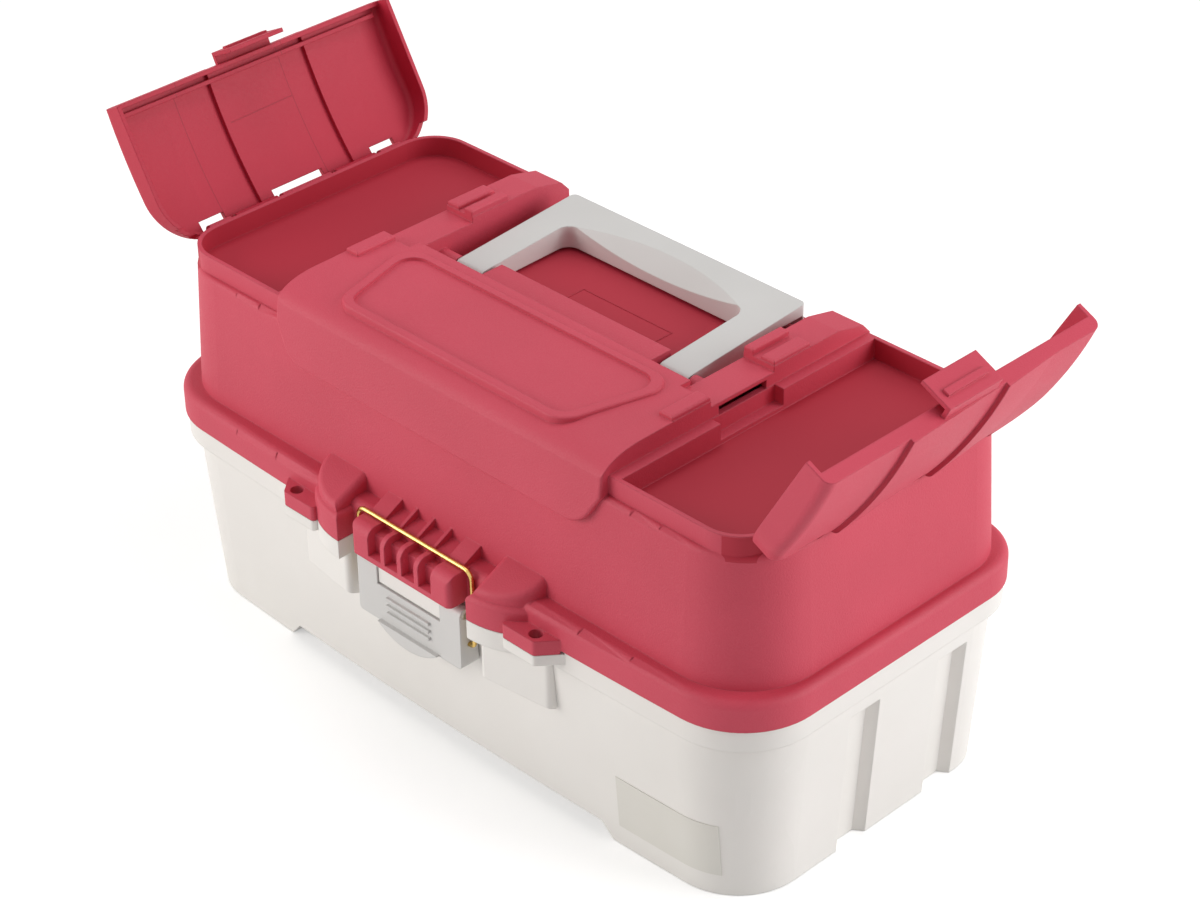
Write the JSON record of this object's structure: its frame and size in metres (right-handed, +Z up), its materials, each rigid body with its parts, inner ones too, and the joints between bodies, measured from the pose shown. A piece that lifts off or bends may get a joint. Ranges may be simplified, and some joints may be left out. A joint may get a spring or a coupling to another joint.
{
  "type": "tackle box",
  "caption": "Tackle box with a hinged lid, wire draw latch, folding carry handle, top bins under hinged doors, and cantilever trays that rise as the lid opens.",
  "frame": {"origin": "on the floor, in the middle of the centre foot under the base", "axes": "+X along the box to its right end, +Y to the back where the lid is hinged, +Z up"},
  "size_m": [0.4832, 0.2194, 0.2652],
  "materials": {
    "base_white": "fine texture",
    "label": "satin film",
    "lid_red": "fine texture",
    "handle_grey": "satin",
    "bail_brass": "bright wire",
    "pin_steel": "plain",
    "tray_white": "satin",
    "divider_grey": "satin",
    "arm_steel": "plated"
  },
  "bodies": {
    "base": {"base_tub": "base_white", "front_label": "label", "lid_hinge_pins": "pin_steel", "latch_pin": "pin_steel", "base_arm_pins": "pin_steel"},
    "lid": {"lid_shell": "lid_red", "left_door_rod": "pin_steel", "right_door_rod": "pin_steel", "handle_pins": "pin_steel", "lid_arm_pins": "pin_steel"},
    "right_door": {"right_door": "lid_red"},
    "left_door": {"left_door": "lid_red"},
    "handle": {"handle": "handle_grey"},
    "latch_lever": {"latch_lever": "handle_grey"},
    "latch_bail": {"latch_bail": "bail_brass"},
    "rear_arms": {"left_rear_arm": "arm_steel", "right_rear_arm": "arm_steel"},
    "front_arms": {"left_front_arm": "arm_steel", "right_front_arm": "arm_steel"},
    "upper_tray": {"upper_tray": "tray_white", "upper_tray_dividers": "divider_grey", "upper_tray_pins": "pin_steel"},
    "lower_tray": {"lower_tray": "tray_white", "lower_tray_dividers": "divider_grey", "lower_tray_pins": "pin_steel"}
  },
  "joints": [
    {"name": "lid_open", "type": "hinge", "parent": "base", "child": "lid", "pos_m": [0, 0.1014, 0.1034], "axis": [-1, 0, 0], "range_deg": [0, 100]},
    {"name": "rear_arms_swing", "type": "hinge", "parent": "base", "child": "rear_arms", "pos_m": [0, 0.0414, 0.0934], "axis": [-1, 0, 0], "range_deg": [0, 100]},
    {"name": "front_arms_swing", "type": "hinge", "parent": "base", "child": "front_arms", "pos_m": [0, 0.0034, 0.0814], "axis": [-1, 0, 0], "range_deg": [0, 100]},
    {"name": "upper_tray_level", "type": "hinge", "parent": "rear_arms", "child": "upper_tray", "pos_m": [0, -0.0436, 0.099], "axis": [-1, 0, 0], "range_deg": [-100, 0]},
    {"name": "lower_tray_level", "type": "hinge", "parent": "rear_arms", "child": "lower_tray", "pos_m": [0, -0.0011, 0.0962], "axis": [-1, 0, 0], "range_deg": [-100, 0]},
    {"name": "right_door_swing", "type": "hinge", "parent": "lid", "child": "right_door", "pos_m": [0.19362, 0, 0.192], "axis": [0, 1, 0], "range_deg": [-116.3, 0]},
    {"name": "left_door_swing", "type": "hinge", "parent": "lid", "child": "left_door", "pos_m": [-0.19362, 0, 0.192], "axis": [0, -1, 0], "range_deg": [-116.3, 0]},
    {"name": "handle_lift", "type": "hinge", "parent": "lid", "child": "handle", "pos_m": [0, 0.0005, 0.1924], "axis": [1, 0, 0], "range_deg": [0, 95]},
    {"name": "latch_lever_pull", "type": "hinge", "parent": "base", "child": "latch_lever", "pos_m": [0, -0.1058, 0.0952], "axis": [-1, 0, 0], "range_deg": [0, 95]},
    {"name": "latch_bail_swing", "type": "hinge", "parent": "latch_lever", "child": "latch_bail", "pos_m": [0, -0.104, 0.0785], "axis": [-1, 0, 0], "range_deg": [-95, 0]}
  ],
  "couplings": [
    {"joint": "rear_arms_swing", "follows": "lid_open", "ratio": 1},
    {"joint": "front_arms_swing", "follows": "lid_open", "ratio": 1},
    {"joint": "upper_tray_level", "follows": "lid_open", "ratio": -1},
    {"joint": "lower_tray_level", "follows": "lid_open", "ratio": -1},
    {"joint": "latch_bail_swing", "follows": "latch_lever_pull", "ratio": -1}
  ]
}
